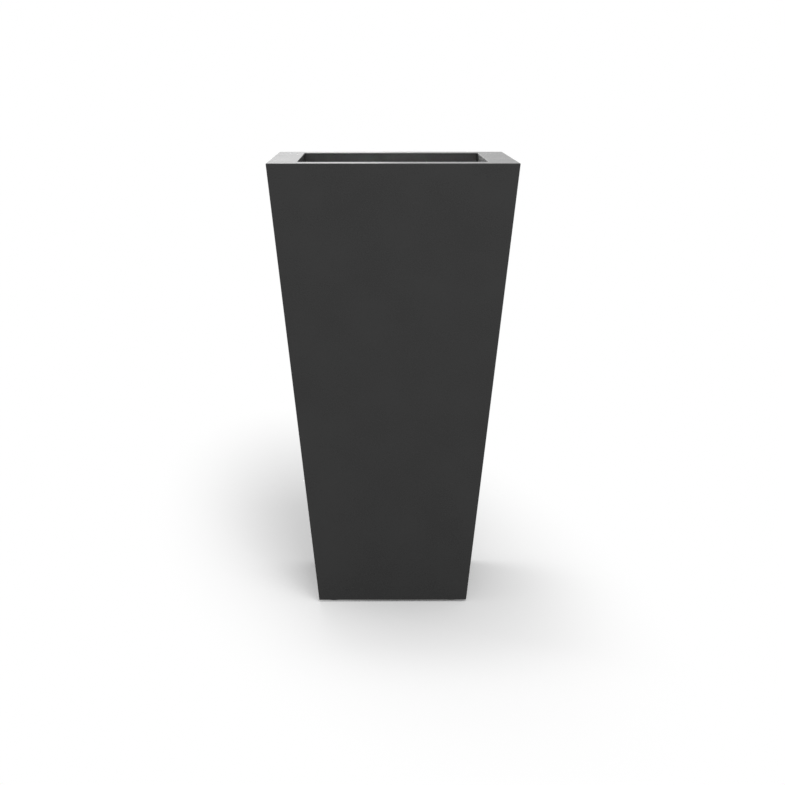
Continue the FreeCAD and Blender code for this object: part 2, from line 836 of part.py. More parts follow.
def on_long_edge(height, half):
    """Whether a point is on one of the shelf's long edges, at a height and a distance from the middle."""

    def rule(point):
        across, along = max(abs(point.x), abs(point.y)), min(abs(point.x), abs(point.y))
        reach = number("shelf_half - shelf_notch") + SAME_PLACE
        return near(point.z, number(height)) and near(across, number(half)) and along < reach

    return rule


def on_notch_corner(point):
    """Whether a point is on the upright inner edge of a notch in the shelf's corners."""
    inner = number("shelf_half - shelf_notch")
    return near(abs(point.x), inner) and near(abs(point.y), inner)


def on_slot_corner(point):
    """Whether a point is on an upright corner edge of a finger slot."""
    beside = near(abs(abs(point.x) - number("slot_place")), number("slot_width / 2"))
    return beside and near(abs(point.y), number("slot_length / 2"))


def on_front_line(height, inset):
    """Whether a point is on a level line along the front panel's back, moved in by an inset."""

    def rule(point):
        return near(point.z, number(height)) and near(point.y, number(f"{inset} - {inner_half(height)}"))

    return rule


def shelf_ledge(side):
    """An angle on the back of a panel, whose level leg carries the shelf's folded side."""
    body = new_body(f"ledge_{SIDES[side]}")
    body.Placement = turned_by(side)
    under = "(ledge_top - ledge_sheet)"
    foot = "(ledge_top - ledge_leg)"
    edge = "ledge_bearing - shelf_half"
    profile = start_sketch(body, f"ledge_profile_{side}", "YZ_Plane")
    points = [
        (f"-{inner_half('ledge_top')}", "ledge_top"),
        (edge, "ledge_top"),
        (edge, under),
        (f"ledge_run - {inner_half(under)}", under),
        (f"ledge_run - {inner_half(foot)}", foot),
        (f"-{inner_half(foot)}", foot),
    ]
    draw_outline(profile, points)
    add_pad(body, f"ledge_legs_{side}", profile, "ledge_length", side_type="Symmetric")
    round_edges(body, f"ledge_heel_{side}", "ledge_bend", on_front_line("ledge_top", "0"))
    round_edges(body, f"ledge_throat_{side}", "ledge_bend - ledge_sheet", on_front_line(under, "ledge_run"))
    return body


keep(planting_shelf(), "planting_shelf")
for side, side_name in enumerate(SIDES):
    keep(drill(shelf_ledge(side), stud_holes["ledge"]), f"shelf_ledge_{side_name}")


# Check everything, then write one file a sub-part

doc.recompute()
failed = [item.Label for item in doc.Objects if {"Invalid", "Error"} & set(item.State)]
if failed:
    raise RuntimeError(f"these did not build: {failed}")
for item, count in subparts:
    shape = item.Shape
    if shape.isNull() or not shape.isValid() or len(shape.Solids) != count:
        raise RuntimeError(f"{item.Label} is not {count} sound solids")
os.makedirs("parts", exist_ok=True)
for item, count in subparts:
    item.Shape.exportStep(f"parts/{item.Label}.step")
    print(f"{item.Label}: {count} of {item.Shape.Volume / count:.0f} cubic mm")
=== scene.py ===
import json
from math import atan, atan2, ceil, cos, pi, radians, sqrt, tan

import bmesh
import bpy
from mathutils import Matrix, Vector


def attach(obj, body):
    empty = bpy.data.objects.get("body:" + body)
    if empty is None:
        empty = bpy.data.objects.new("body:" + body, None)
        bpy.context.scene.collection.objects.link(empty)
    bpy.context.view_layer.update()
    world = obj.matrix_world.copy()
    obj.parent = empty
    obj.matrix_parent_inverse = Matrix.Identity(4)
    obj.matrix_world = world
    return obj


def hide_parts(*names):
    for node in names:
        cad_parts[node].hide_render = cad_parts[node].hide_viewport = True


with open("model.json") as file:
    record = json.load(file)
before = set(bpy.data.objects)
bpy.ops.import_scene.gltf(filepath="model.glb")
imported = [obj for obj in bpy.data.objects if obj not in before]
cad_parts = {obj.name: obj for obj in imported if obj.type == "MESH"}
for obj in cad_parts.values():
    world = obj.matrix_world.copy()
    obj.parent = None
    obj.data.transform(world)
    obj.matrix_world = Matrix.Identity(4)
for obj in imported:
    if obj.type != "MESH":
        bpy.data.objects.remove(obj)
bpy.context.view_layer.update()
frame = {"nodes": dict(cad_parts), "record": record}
scene = bpy.context.scene

# The planter's sizes in millimetres, as its sheet metal and fixings have them
MM = 0.001
TOP_WIDTH = 435
BASE_WIDTH = 270
SHELL_HEIGHT = 800
GROUND_GAP = 4
PANEL_SHEET = 1.5
ANGLE_SHEET = 1.5
TRAY_SHEET = 1.5
GUSSET_SHEET = 2
LEDGE_SHEET = 2
RIM_WIDTH = 51
LIP_DEPTH = 30
FOLD_RADIUS = 1.2
TRAY_BASE = 15.5
TRAY_FLOOR = TRAY_BASE + TRAY_SHEET
FOOT_INSET = 27
CORNER_STUD_HEIGHTS = (105.5, 305, 504.5, 704)
CORNER_STUD_INSET = 18
GUSSET_STUDS = (50, 88)
GUSSET_GAP = 3
LEDGE_STUD_HEIGHT = 308
LEDGE_STUD_REACH = 50
TRAY_STUD_HEIGHT = 42.5
TRAY_STUD_REACH = 65

SLOPE = (TOP_WIDTH - BASE_WIDTH) / 2 / SHELL_HEIGHT
SECANT = sqrt(1 + SLOPE**2)
RIM_TOP = GROUND_GAP + SHELL_HEIGHT
RIM_UNDER = RIM_TOP - PANEL_SHEET
MOUTH_HALF = TOP_WIDTH / 2 - RIM_WIDTH
CORNERS = {"front_left": (-1, -1), "front_right": (1, -1), "rear_left": (-1, 1), "rear_right": (1, 1)}


def inner_half(height):
    """Half the distance between the backs of two facing panels at a height."""
    return BASE_WIDTH / 2 + SLOPE * (height - GROUND_GAP) - PANEL_SHEET * SECANT


FOOT_PLACE = inner_half(TRAY_BASE) - FOOT_INSET
GUSSET_OUTER = inner_half(RIM_UNDER - GUSSET_SHEET) - GUSSET_GAP
GUSSET_INNER = MOUTH_HALF + PANEL_SHEET + GUSSET_GAP


# Materials

# The stretch of a noise's values that most of it lies in
NOISE_SPREAD = (0.35, 0.65)
CLOUD_DETAIL = 3
SPECKLE_DETAIL = 2
SPECKLE_SHARE = 0.5


def linear(hex_colour):
    """An sRGB hex colour as the linear red, green, blue and alpha that a shader takes."""
    channels = [int(hex_colour[i : i + 2], 16) / 255 for i in (1, 3, 5)]
    return (*[c / 12.92 if c <= 0.04045 else ((c + 0.055) / 1.055) ** 2.4 for c in channels], 1.0)


def add(tree, kind, inputs=None, **settings):
    """Add a shader node. Each input is a value, or the socket that it is linked from."""
    node = tree.nodes.new(f"ShaderNode{kind}")
    for name, setting in settings.items():
        setattr(node, name, setting)
    for name, value in (inputs or {}).items():
        if isinstance(value, bpy.types.NodeSocket):
            tree.links.new(value, node.inputs[name])
        else:
            node.inputs[name].default_value = value
    return node


def new_material(name):
    material = bpy.data.materials.new(name)
    material.use_nodes = True
    material.node_tree.nodes.clear()
    return material, material.node_tree


def grains(size):
    """The noise scale whose grains are about this many millimetres across."""
    return 1 / (size * MM)


def finish_material(name, colours, roughness, cloud, grain, relief, **constants):
    """A finish whose colour and roughness drift in clouds and from grain to grain, with a grained surface.

    cloud and grain are sizes in millimetres, and relief is the grain's height in millimetres.
    """
    material, tree = new_material(name)
    place = add(tree, "TexCoord").outputs["Object"]
    clouds = add(tree, "TexNoise", {"Vector": place, "Scale": grains(cloud), "Detail": CLOUD_DETAIL})
    speckle = add(tree, "TexNoise", {"Vector": place, "Scale": grains(grain), "Detail": SPECKLE_DETAIL})
    both = add(tree, "Mix", {0: SPECKLE_SHARE, 2: clouds.outputs["Fac"], 3: speckle.outputs["Fac"]})
    spread = {"Value": both.outputs[0], "From Min": NOISE_SPREAD[0], "From Max": NOISE_SPREAD[1]}
    mottle = add(tree, "MapRange", spread).outputs[0]
    tint = add(tree, "Mix", {0: mottle, 6: linear(colours[0]), 7: linear(colours[1])}, data_type="RGBA")
    gloss = add(tree, "MapRange", {"Value": mottle, "To Min": roughness[0], "To Max": roughness[1]})
    bump = add(tree, "Bump", {"Height": speckle.outputs["Fac"], "Strength": 1.0, "Distance": relief * MM})
    surface = {"Base Color": tint.outputs[2], "Roughness": gloss.outputs[0], "Normal": bump.outputs[0]}
    shader = add(tree, "BsdfPrincipled", {**surface, **constants})
    add(tree, "OutputMaterial", {"Surface": shader.outputs[0]})
    return material


# Polyester powder coat, sprayed and baked on steel sheet: an even charcoal satin. Close to, it has the faint
# orange peel of the melted powder, in waves about 1.5 mm wide, and its film drifts over a hand's width.
# Its grey specular tint keeps it from mirroring much where it is seen squarely, and leaves the rim bright.
powder_coat = finish_material(
    "charcoal_polyester_powder_coat",
    colours=("#383838", "#3d3d3d"),
    roughness=(0.25, 0.31),
    cloud=90,
    grain=1.5,
    relief=0.0012,
    **{"Specular Tint": linear("#8e8e8e")},
)
# The same powder on the pieces inside, where less of it reaches: thinner and drier, so it is duller, with a
# coarser peel and a patchy colour.
thin_coat = finish_material(
    "thin_inner_powder_coat",
    colours=("#343434", "#434343"),
    roughness=(0.34, 0.48),
    cloud=30,
    grain=2,
    relief=0.004,
)
# The grains of the next four are about 0.1 mm wide, too fine to show, and are drawn at 0.6 to 0.8 mm.
# A2 stainless steel, cold headed and tumbled: warm grey metal with soft, uneven highlights.
stainless = finish_material(
    "a2_stainless_steel_tumbled",
    colours=("#a8a59f", "#c4c1ba"),
    roughness=(0.22, 0.38),
    cloud=5,
    grain=0.6,
    relief=0.02,
    Metallic=1.0,
)
# Bright zinc plate with a clear passivation on turned steel: cooler and cloudier than stainless.
zinc_plate = finish_material(
    "clear_passivated_zinc_plate",
    colours=("#9aa3b2", "#c9c8bd"),
    roughness=(0.26, 0.45),
    cloud=7,
    grain=0.7,
    relief=0.03,
    Metallic=1.0,
)
# Moulded EPDM rubber: near black and matt, with a faint grey bloom and a fine mould grain.
rubber = finish_material(
    "moulded_epdm_rubber",
    colours=("#141415", "#222223"),
    roughness=(0.62, 0.8),
    cloud=9,
    grain=0.8,
    relief=0.05,
)
# Injection moulded glass-filled nylon: black, dry looking, with paler glass showing at the skin and the
# spark-eroded grain of its mould.
nylon = finish_material(
    "glass_filled_nylon",
    colours=("#18181a", "#262627"),
    roughness=(0.42, 0.6),
    cloud=4,
    grain=0.7,
    relief=0.06,
)
# Painted shade for the lip's inner corners, drawn as near-black wiped sealer with a faint drag in it.
sealant_and_corner_shade = finish_material(
    "sealant_painted_corner_shade",
    colours=("#0b0b0b", "#151515"),
    roughness=(0.6, 0.75),
    cloud=6,
    grain=0.9,
    relief=0.03,
)

FINISHES = {
    "powder_coat": thin_coat,
    "stainless_steel": stainless,
    "zinc_plated_steel": zinc_plate,
    "black_rubber": rubber,
    "black_nylon": nylon,
}
for subpart in frame["record"]["subparts"]:
    name = subpart["node"]
    coats = frame["nodes"][name].data.materials
    coats.clear()
    coats.append(powder_coat if name.endswith("_panel") else FINISHES[subpart["material_slot"]])


# Mesh tools, in millimetres

TURN = 2 * pi
ROUND_STEPS = 3
ROUND_PROFILE = 0.5
SAME_POINT = 1e-4
SHARP_ANGLE = 32
THREAD_DEPTH = 0.61
THREAD_CREST = (0.42, 0.58)
SPARE_TURNS = 3
HEX_STEPS = 36
HEX_CROWN = 0.95
HEX_CHAMFER = radians(30)
BORE_BREAK = 0.4


def only(kind, geometry):
    return [item for item in geometry if isinstance(item, kind)]


def everything(shape):
    return shape.verts[:] + shape.edges[:] + shape.faces[:]


def close_up(shape):
    """Merge what a spin leaves doubled and turn all faces outwards."""
    bmesh.ops.remove_doubles(shape, verts=shape.verts[:], dist=SAME_POINT)
    bmesh.ops.recalc_face_normals(shape, faces=shape.faces[:])


def round_off(shape, corner, size, steps):
    """Round one corner of an outline."""
    bmesh.ops.bevel(
        shape,
        geom=[corner],
        offset=size,
        affect="VERTICES",
        segments=steps,
        profile=ROUND_PROFILE,
        material=-1,
    )


def turned(section, steps, ring=False):
    """A turned shape from its half section, which gives each corner's radius, height and rounding.

    A ring's section closes on itself.
    """
    shape = bmesh.new()
    corners = [shape.verts.new((radius, 0, height)) for radius, height, _ in section]
    following = corners[1:] + corners[:1] if ring else corners[1:]
    for start, end in zip(corners, following):
        shape.edges.new((start, end))
    for corner, (_, _, rounding) in zip(corners, section):
        if rounding:
            round_off(shape, corner, rounding, ROUND_STEPS)
    sweep = {"cent": (0, 0, 0), "axis": (0, 0, 1), "dvec": (0, 0, 0), "angle": TURN, "steps": steps}
    bmesh.ops.spin(shape, geom=shape.verts[:] + shape.edges[:], use_merge=True, **sweep)
    close_up(shape)
    return shape


def flute(point, waves, depth):
    """Draw a point of a turned edge inwards, to make a ring of waves."""
    reach = point.co.xy.length
    wave = (1 + cos(waves * atan2(point.co.y, point.co.x))) / 2
    point.co.xy *= (reach - depth * wave) / reach


def threaded_rod(radius, pitch, low, high, tip, steps):
    """A rod with a rolled thread between two heights, its upper end chamfered."""
    shape = bmesh.new()
    root = radius - THREAD_DEPTH * pitch
    start = low - SPARE_TURNS / 2 * pitch
    turns = ceil((high - low) / pitch) + SPARE_TURNS
    section = [(root, 0), (radius, THREAD_CREST[0]), (radius, THREAD_CREST[1]), (root, 1)]
    corners = [shape.verts.new((reach, 0, start + rise * pitch)) for reach, rise in section]
    for one, other in zip(corners, corners[1:]):
        shape.edges.new((one, other))
    sweep = {"cent": (0, 0, 0), "axis": (0, 0, 1), "angle": TURN * turns, "steps": steps * turns}
    bmesh.ops.spin(shape, geom=shape.verts[:] + shape.edges[:], dvec=(0, 0, pitch / steps), **sweep)
    bmesh.ops.remove_doubles(shape, verts=shape.verts[:], dist=SAME_POINT)
    for height, outwards in ((low, -1), (high, 1)):
        plane = {"plane_co": (0, 0, height), "plane_no": (0, 0, outwards)}
        cut = bmesh.ops.bisect_plane(shape, geom=everything(shape), clear_outer=True, **plane)
        bmesh.ops.edgeloop_fill(shape, edges=only(bmesh.types.BMEdge, cut["geom_cut"]))
    for point in shape.verts:
        limit = radius - max(0, point.co.z - (high - tip))
        reach = point.co.xy.length
        if reach > limit:
            point.co.xy *= limit / reach
    close_up(shape)
    return shape


def hexagon(flats, bore, low, high):
    """A spanner hexagon round a bore, its corners turned off at both ends."""
    side, crown, mouth = flats / 2, flats / 2 * HEX_CROWN, bore + BORE_BREAK
    section = [(mouth, low), (crown, low), (side, low), (side, high), (crown, high), (mouth, high)]
    section += [(bore, high - BORE_BREAK), (bore, low + BORE_BREAK)]
    shape = turned([(reach, height, 0) for reach, height in section], HEX_STEPS, ring=True)
    middle = (low + high) / 2
    for point in shape.verts:
        reach = point.co.xy.length
        if reach > side - SAME_POINT:
            off_flat = (atan2(point.co.y, point.co.x) + pi / 6) % (pi / 3) - pi / 6
            wide = side / cos(off_flat)
            drop = (wide - crown) * tan(HEX_CHAMFER)
            point.co.xy *= wide / reach
            point.co.z += drop if point.co.z < middle else -drop
    return shape


def joined(first, *others):
    """Several shapes in one."""
    for other in others:
        carrier = bpy.data.meshes.new("carrier")
        other.to_mesh(carrier)
        other.free()
        first.from_mesh(carrier)
        bpy.data.meshes.remove(carrier)
    return first


def repeated(shape, places):
    """A shape copied to every place."""
    pattern = everything(shape)
    for place in places:
        copy = bmesh.ops.duplicate(shape, geom=pattern)["geom"]
        bmesh.ops.transform(shape, matrix=place, verts=only(bmesh.types.BMVert, copy))
    bmesh.ops.delete(shape, geom=only(bmesh.types.BMVert, pattern), context="VERTS")
    return shape


def add_piece(name, shape, slot, body, node=None, finish=None):
    """Make a shape a piece that rides on a body. It may stand for a node, or have a finish of its own."""
    bmesh.ops.scale(shape, vec=(MM, MM, MM), verts=shape.verts[:])
    mesh = bpy.data.meshes.new(name)
    shape.to_mesh(mesh)
    shape.free()
    mesh.shade_smooth()
    mesh.set_sharp_from_angle(angle=radians(SHARP_ANGLE))
    mesh.materials.append(finish or FINISHES[slot])
    piece = bpy.data.objects.new(name, mesh)
    scene.collection.objects.link(piece)
    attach(piece, body)
    if node:
        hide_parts(node)


# Weld studs and flange nuts

STUD_RADIUS = 2.5
STUD_PITCH = 0.8
STUD_LENGTH = 10
STUD_TIP = 0.6
STUD_STEPS = 16
STUD_FOOT = (3.25, 0.8)
STUD_FOOT_ROUND = 0.25
NUT_FLATS = 8
NUT_BORE = 2.55
NUT_HEIGHT = 5
NUT_FLANGE = 5.9
NUT_FLANGE_EDGE = 0.7
NUT_FLANGE_CROWN = (4.1, 1.4)
NUT_HEX_LOW = 0.2
NUT_ROUND = 0.2
NUT_EDGE_ROUND = 0.25


def weld_stud():
    """A threaded stud on the flat foot that its weld leaves on the sheet."""
    foot_reach, foot_top = STUD_FOOT
    section = [
        (0, 0, 0),
        (foot_reach, 0, 0),
        (foot_reach, foot_top, STUD_FOOT_ROUND),
        (0, foot_top, 0),
    ]
    foot = turned(section, 2 * STUD_STEPS)
    rod = threaded_rod(STUD_RADIUS, STUD_PITCH, foot_top / 2, STUD_LENGTH, STUD_TIP, STUD_STEPS)
    return joined(rod, foot)


def flange_nut():
    """A hexagon nut that stands on its own coned washer."""
    crown_reach, crown_top = NUT_FLANGE_CROWN
    washer = [
        (NUT_BORE + BORE_BREAK, 0, 0),
        (NUT_FLANGE, 0, NUT_ROUND),
        (NUT_FLANGE, NUT_FLANGE_EDGE, NUT_EDGE_ROUND),
        (crown_reach, crown_top, NUT_ROUND),
        (NUT_BORE + BORE_BREAK, crown_top, 0),
    ]
    head = hexagon(NUT_FLATS, NUT_BORE, NUT_HEX_LOW, NUT_HEIGHT)
    return joined(head, turned(washer, HEX_STEPS, ring=True))


def on_wall(x, height, seat):
    """A place on the front panel's back, a seat height off the sheet, facing squarely into the planter."""
    back = Matrix.Translation((x, -inner_half(height), height))
    return back @ Matrix.Rotation(atan(SLOPE) - pi / 2, 4, "X") @ Matrix.Translation((0, 0, seat))


def under_rim(x, seat):
    """A place on the underside of the front rim, a seat height off the sheet, facing down."""
    below = Matrix.Translation((x, -(GUSSET_OUTER + GUSSET_INNER) / 2, RIM_UNDER))
    return below @ Matrix.Rotation(pi, 4, "X") @ Matrix.Translation((0, 0, seat))


def corner_places(seat):
    reaches = [(height, inner_half(height) - CORNER_STUD_INSET) for height in CORNER_STUD_HEIGHTS]
    return [on_wall(hand * reach, height, seat) for height, reach in reaches for hand in (-1, 1)]


def rim_places(seat):
    return [under_rim(hand * (GUSSET_OUTER - inset), seat) for inset in GUSSET_STUDS for hand in (-1, 1)]


def ledge_places(seat):
    return [on_wall(hand * LEDGE_STUD_REACH, LEDGE_STUD_HEIGHT, seat) for hand in (-1, 1)]


def tray_places(seat):
    return [on_wall(hand * TRAY_STUD_REACH, TRAY_STUD_HEIGHT, seat) for hand in (-1, 1)]


def on_all_sides(places):
    """Places on the front panel, repeated on the other three."""
    return [Matrix.Rotation(side * pi / 2, 4, "Z") @ place for side in range(4) for place in places]


FASTENED = {
    "corner": (corner_places, ANGLE_SHEET),
    "rim": (rim_places, GUSSET_SHEET),
    "ledge": (ledge_places, LEDGE_SHEET),
    "tray": (tray_places, TRAY_SHEET),
}
for where, (places_at, sheet) in FASTENED.items():
    studs = repeated(weld_stud(), on_all_sides(places_at(0)))
    add_piece(f"{where}_threaded_studs", studs, "stainless_steel", "planter", f"{where}_studs")
    nuts = repeated(flange_nut(), on_all_sides(places_at(sheet)))
    add_piece(f"{where}_flange_nuts", nuts, "stainless_steel", "planter", f"{where}_nuts")


# Painted shade in the inner corners of the lip, drawn as dark sealant beads

BEAD_REACH = 3.5
BEAD_SINK = 0.4
BEAD_FEATHER = 0.05
BEAD_STEPS = 4
BEAD_END_GAPS = (0.5, 0.3)
BEAD_LOW = RIM_TOP - LIP_DEPTH + BEAD_END_GAPS[0]
BEAD_TOP = RIM_TOP - FOLD_RADIUS - BEAD_END_GAPS[1]


def corner_shade_bead():
    """A hollow fillet of painted shade down an inner corner of the lip, its back sunk a little in the
    sheets.
    """
    back = MOUTH_HALF + BEAD_SINK
    face = MOUTH_HALF - BEAD_FEATHER
    edge = face - BEAD_REACH
    outline = [(face, face), (edge, face), (edge, back), (back, back), (back, edge), (face, edge)]
    shape = bmesh.new()
    corners = [shape.verts.new((x, y, BEAD_LOW)) for x, y in outline]
    shape.faces.new(corners)
    round_off(shape, corners[0], BEAD_REACH, BEAD_STEPS)
    top = bmesh.ops.extrude_face_region(shape, geom=shape.faces[:], use_keep_orig=True)["geom"]
    bmesh.ops.translate(shape, vec=(0, 0, BEAD_TOP - BEAD_LOW), verts=only(bmesh.types.BMVert, top))
    close_up(shape)
    return shape


# Near-black beads in the four inner corners of the lip paint the shade there.
corner_shade_beads = repeated(corner_shade_bead(), on_all_sides([Matrix.Identity(4)]))
add_piece("lip_corner_painted_shade", corner_shade_beads, "black_rubber", "planter", finish=sealant_and_corner_shade)


# Levelling feet

FOOT_STEPS = 96
FOOT_RADIUS = 18
FOOT_HEIGHT = 8
FOOT_EDGE = 3.5
FOOT_EDGE_ROUND = 0.8
FOOT_CHAMFER = 1
FOOT_ROUND = 0.3
FOOT_BOSS = 11
BOSS_SPREAD = 1.5
BOSS_HEIGHT = 2.2
BOSS_ROUNDS = (1.2, 0.6)
FOOT_FLUTES = 24
FLUTE_DEPTH = 0.5
SOCKET_RADIUS = 3.58
SOCKET_FLOOR = 3
GROOVE_DEPTH = 0.6
GROOVE_LEAN = 0.2
GROOVE_ROUND = 0.2
GROOVES = ((14.5, 12.5), (10.5, 8.5), (6.5, 4.5))
THREAD_RADIUS = 4
THREAD_PITCH = 1.25
THREAD_TIP = 1
THREAD_STEPS = 24
COLLAR_FLATS = 13
COLLAR_TOP = 14
FOOT_STUD_TOP = 42
THREAD_LOW = COLLAR_TOP - 0.5
SPIGOT_RADIUS = 3.5
SPIGOT_LOW = 3.5
SPIGOT_TOP = COLLAR_TOP - 1
SPIGOT_ROUND = 0.4
INSERT_STEPS = 48
INSERT_BORE = 4.1
INSERT_FLANGE = 8.5
INSERT_BODY = 5.5
INSERT_BULGE = 7.5
INSERT_BULGE_HEIGHT = 5
BULGE_TAPER = 2
BULGE_ROUNDS = (0.8, 1, 0.8)
INSERT_TOP = 45.5
INSERT_BORE_END = 44
INSERT_MOUTH_ROUND = 0.2
INSERT_FLANGE_ROUND = 0.4
INSERT_TOP_ROUND = 1
RIB_DEPTH = 0.3


def foot_pad():
    """A moulded pad: fluted edge, domed top with a boss and socket, and grip rings underneath."""
    section = [(0, 0, 0)]
    for outer, inner in reversed(GROOVES):
        section += [
            (inner, 0, GROOVE_ROUND),
            (inner + GROOVE_LEAN, GROOVE_DEPTH, 0),
            (outer - GROOVE_LEAN, GROOVE_DEPTH, 0),
            (outer, 0, GROOVE_ROUND),
        ]
    section += [
        (FOOT_RADIUS - FOOT_CHAMFER, 0, FOOT_ROUND),
        (FOOT_RADIUS, FOOT_CHAMFER, FOOT_ROUND),
        (FOOT_RADIUS, FOOT_EDGE, FOOT_EDGE_ROUND),
        (FOOT_BOSS + BOSS_SPREAD, FOOT_HEIGHT - BOSS_HEIGHT, BOSS_ROUNDS[0]),
        (FOOT_BOSS, FOOT_HEIGHT, BOSS_ROUNDS[1]),
        (SOCKET_RADIUS, FOOT_HEIGHT, FOOT_ROUND),
        (SOCKET_RADIUS, SOCKET_FLOOR, 0),
        (0, SOCKET_FLOOR, 0),
    ]
    shape = turned(section, FOOT_STEPS)
    for point in shape.verts:
        if point.co.xy.length > FOOT_RADIUS - SAME_POINT:
            flute(point, FOOT_FLUTES, FLUTE_DEPTH)
    return shape


def foot_stud():
    """A threaded stud on a spanner collar, with a plain end that turns in the pad."""
    spigot = [
        (0, SPIGOT_LOW, 0),
        (SPIGOT_RADIUS, SPIGOT_LOW, SPIGOT_ROUND),
        (SPIGOT_RADIUS, SPIGOT_TOP, 0),
        (0, SPIGOT_TOP, 0),
    ]
    collar = hexagon(COLLAR_FLATS, SPIGOT_RADIUS - BORE_BREAK, FOOT_HEIGHT, COLLAR_TOP)
    rod = threaded_rod(THREAD_RADIUS, THREAD_PITCH, THREAD_LOW, FOOT_STUD_TOP, THREAD_TIP, THREAD_STEPS)
    return joined(rod, collar, turned(spigot, HEX_STEPS))


def threaded_insert():
    """A closed insert with a set bulge on the tray and ribs along its body."""
    bulge_top = TRAY_FLOOR + INSERT_BULGE_HEIGHT
    section = [
        (INSERT_BORE, COLLAR_TOP, INSERT_MOUTH_ROUND),
        (INSERT_FLANGE, COLLAR_TOP, INSERT_FLANGE_ROUND),
        (INSERT_FLANGE, TRAY_BASE, 0),
        (INSERT_BODY, TRAY_BASE, 0),
        (INSERT_BODY, TRAY_FLOOR, 0),
        (INSERT_BULGE, TRAY_FLOOR, BULGE_ROUNDS[0]),
        (INSERT_BULGE, bulge_top - BULGE_TAPER, BULGE_ROUNDS[1]),
        (INSERT_BODY, bulge_top, BULGE_ROUNDS[2]),
        (INSERT_BODY, INSERT_TOP, INSERT_TOP_ROUND),
        (0, INSERT_TOP, 0),
        (0, INSERT_BORE_END, 0),
        (INSERT_BORE, INSERT_BORE_END, 0),
    ]
    shape = turned(section, INSERT_STEPS, ring=True)
    for point in shape.verts:
        reach = point.co.xy.length
        rib = round(atan2(point.co.y, point.co.x) / TURN * INSERT_STEPS) % 2
        if rib and point.co.z > bulge_top and reach > INSERT_BORE + RIB_DEPTH:
            point.co.xy *= (reach - RIB_DEPTH) / reach
    return shape


foot_places = {
    corner: Matrix.Translation((x * FOOT_PLACE, y * FOOT_PLACE, 0)) for corner, (x, y) in CORNERS.items()
}
for corner, place in foot_places.items():
    pad, stud = f"foot_pad_{corner}", f"foot_stud_{corner}"
    add_piece(f"moulded_pad_{corner}", repeated(foot_pad(), [place]), "black_nylon", pad, pad)
    add_piece(f"threaded_foot_{corner}", repeated(foot_stud(), [place]), "zinc_plated_steel", stud, stud)
inserts = repeated(threaded_insert(), foot_places.values())
add_piece("ribbed_inserts", inserts, "zinc_plated_steel", "planter", "foot_inserts")


# Drain bush and plug

RUBBER_STEPS = 72
BUSH_BORE = 10
BUSH_FLANGE = 21
BUSH_WAIST = 14.9
BUSH_LOW = 13
BUSH_TOP = TRAY_FLOOR + 2.5
BUSH_BORE_ROUNDS = (0.5, 0.4)
BUSH_EDGE_ROUND = 1.1
BUSH_GRIP_ROUND = 0.3
SHANK_RADIUS = 9.7
SHANK_WAIST = 9.2
SHANK_LEAD = (1.5, 1.2)
SHANK_ROUNDS = (0.6, 0.4, 0.3)
SEAL_HEIGHTS = (15, 17)
SEAL_HALF = 0.5
SEAL_ROUND = 0.2
PLUG_HEAD = 17
HEAD_TOP = BUSH_TOP + 4
HEAD_ROUNDS = (0.4, 2)
NECK_RADIUS = 4.5
NECK_ROUND = 1.6
KNOB_LOW = HEAD_TOP + 8
KNOB_TOP = KNOB_LOW + 8
KNOB_RADIUS = 10
KNOB_ROUNDS = (2, 2.4)
KNOB_RIBS = 18
KNOB_RIB_DEPTH = 0.5


def drain_bush():
    """A ring whose two soft flanges grip the edge of the tray's hole."""
    section = [
        (BUSH_BORE, BUSH_LOW, BUSH_BORE_ROUNDS[0]),
        (BUSH_FLANGE, BUSH_LOW, BUSH_EDGE_ROUND),
        (BUSH_FLANGE, TRAY_BASE, BUSH_GRIP_ROUND),
        (BUSH_WAIST, TRAY_BASE, 0),
        (BUSH_WAIST, TRAY_FLOOR, 0),
        (BUSH_FLANGE, TRAY_FLOOR, BUSH_GRIP_ROUND),
        (BUSH_FLANGE, BUSH_TOP, BUSH_EDGE_ROUND),
        (BUSH_BORE, BUSH_TOP, BUSH_BORE_ROUNDS[1]),
    ]
    return turned(section, RUBBER_STEPS, ring=True)


def drain_plug():
    """A stopper: a shank with two sealing rings, a broad head and a ribbed knob on a neck."""
    lead_reach, lead_height = SHANK_LEAD
    section = [
        (0, BUSH_LOW, 0),
        (SHANK_WAIST - lead_reach, BUSH_LOW, SHANK_ROUNDS[0]),
        (SHANK_WAIST, BUSH_LOW + lead_height, SHANK_ROUNDS[1]),
    ]
    for height in SEAL_HEIGHTS:
        section += [
            (SHANK_WAIST, height - SEAL_HALF, 0),
            (SHANK_RADIUS, height, SEAL_ROUND),
            (SHANK_WAIST, height + SEAL_HALF, 0),
        ]
    section += [
        (SHANK_WAIST, BUSH_TOP, SHANK_ROUNDS[2]),
        (PLUG_HEAD, BUSH_TOP, HEAD_ROUNDS[0]),
        (PLUG_HEAD, HEAD_TOP, HEAD_ROUNDS[1]),
        (NECK_RADIUS, HEAD_TOP, NECK_ROUND),
        (NECK_RADIUS, KNOB_LOW, NECK_ROUND),
        (KNOB_RADIUS, KNOB_LOW, KNOB_ROUNDS[0]),
        (KNOB_RADIUS, KNOB_TOP, KNOB_ROUNDS[1]),
        (0, KNOB_TOP, 0),
    ]
    shape = turned(section, RUBBER_STEPS)
    for point in shape.verts:
        if point.co.z > KNOB_LOW and point.co.xy.length > KNOB_RADIUS - KNOB_RIB_DEPTH:
            flute(point, KNOB_RIBS, KNOB_RIB_DEPTH)
    return shape


add_piece("flanged_drain_bush", drain_bush(), "black_rubber", "planter", "drain_bush")
add_piece("ribbed_drain_plug", drain_plug(), "black_rubber", "drain_plug", "drain_plug")


# Stage, light and camera

# The camera fitted to the planter's corners: metres, degrees, and its focus in pixels of a square picture
IMAGE_SIDE = 785
CAMERA_PLACE = Vector((-0.0298, -3.122, 0.9548))
CAMERA_PITCH = 10.68
CAMERA_YAW = 0.564
CAMERA_FOCUS = 1692.7
SENSOR = 36.0
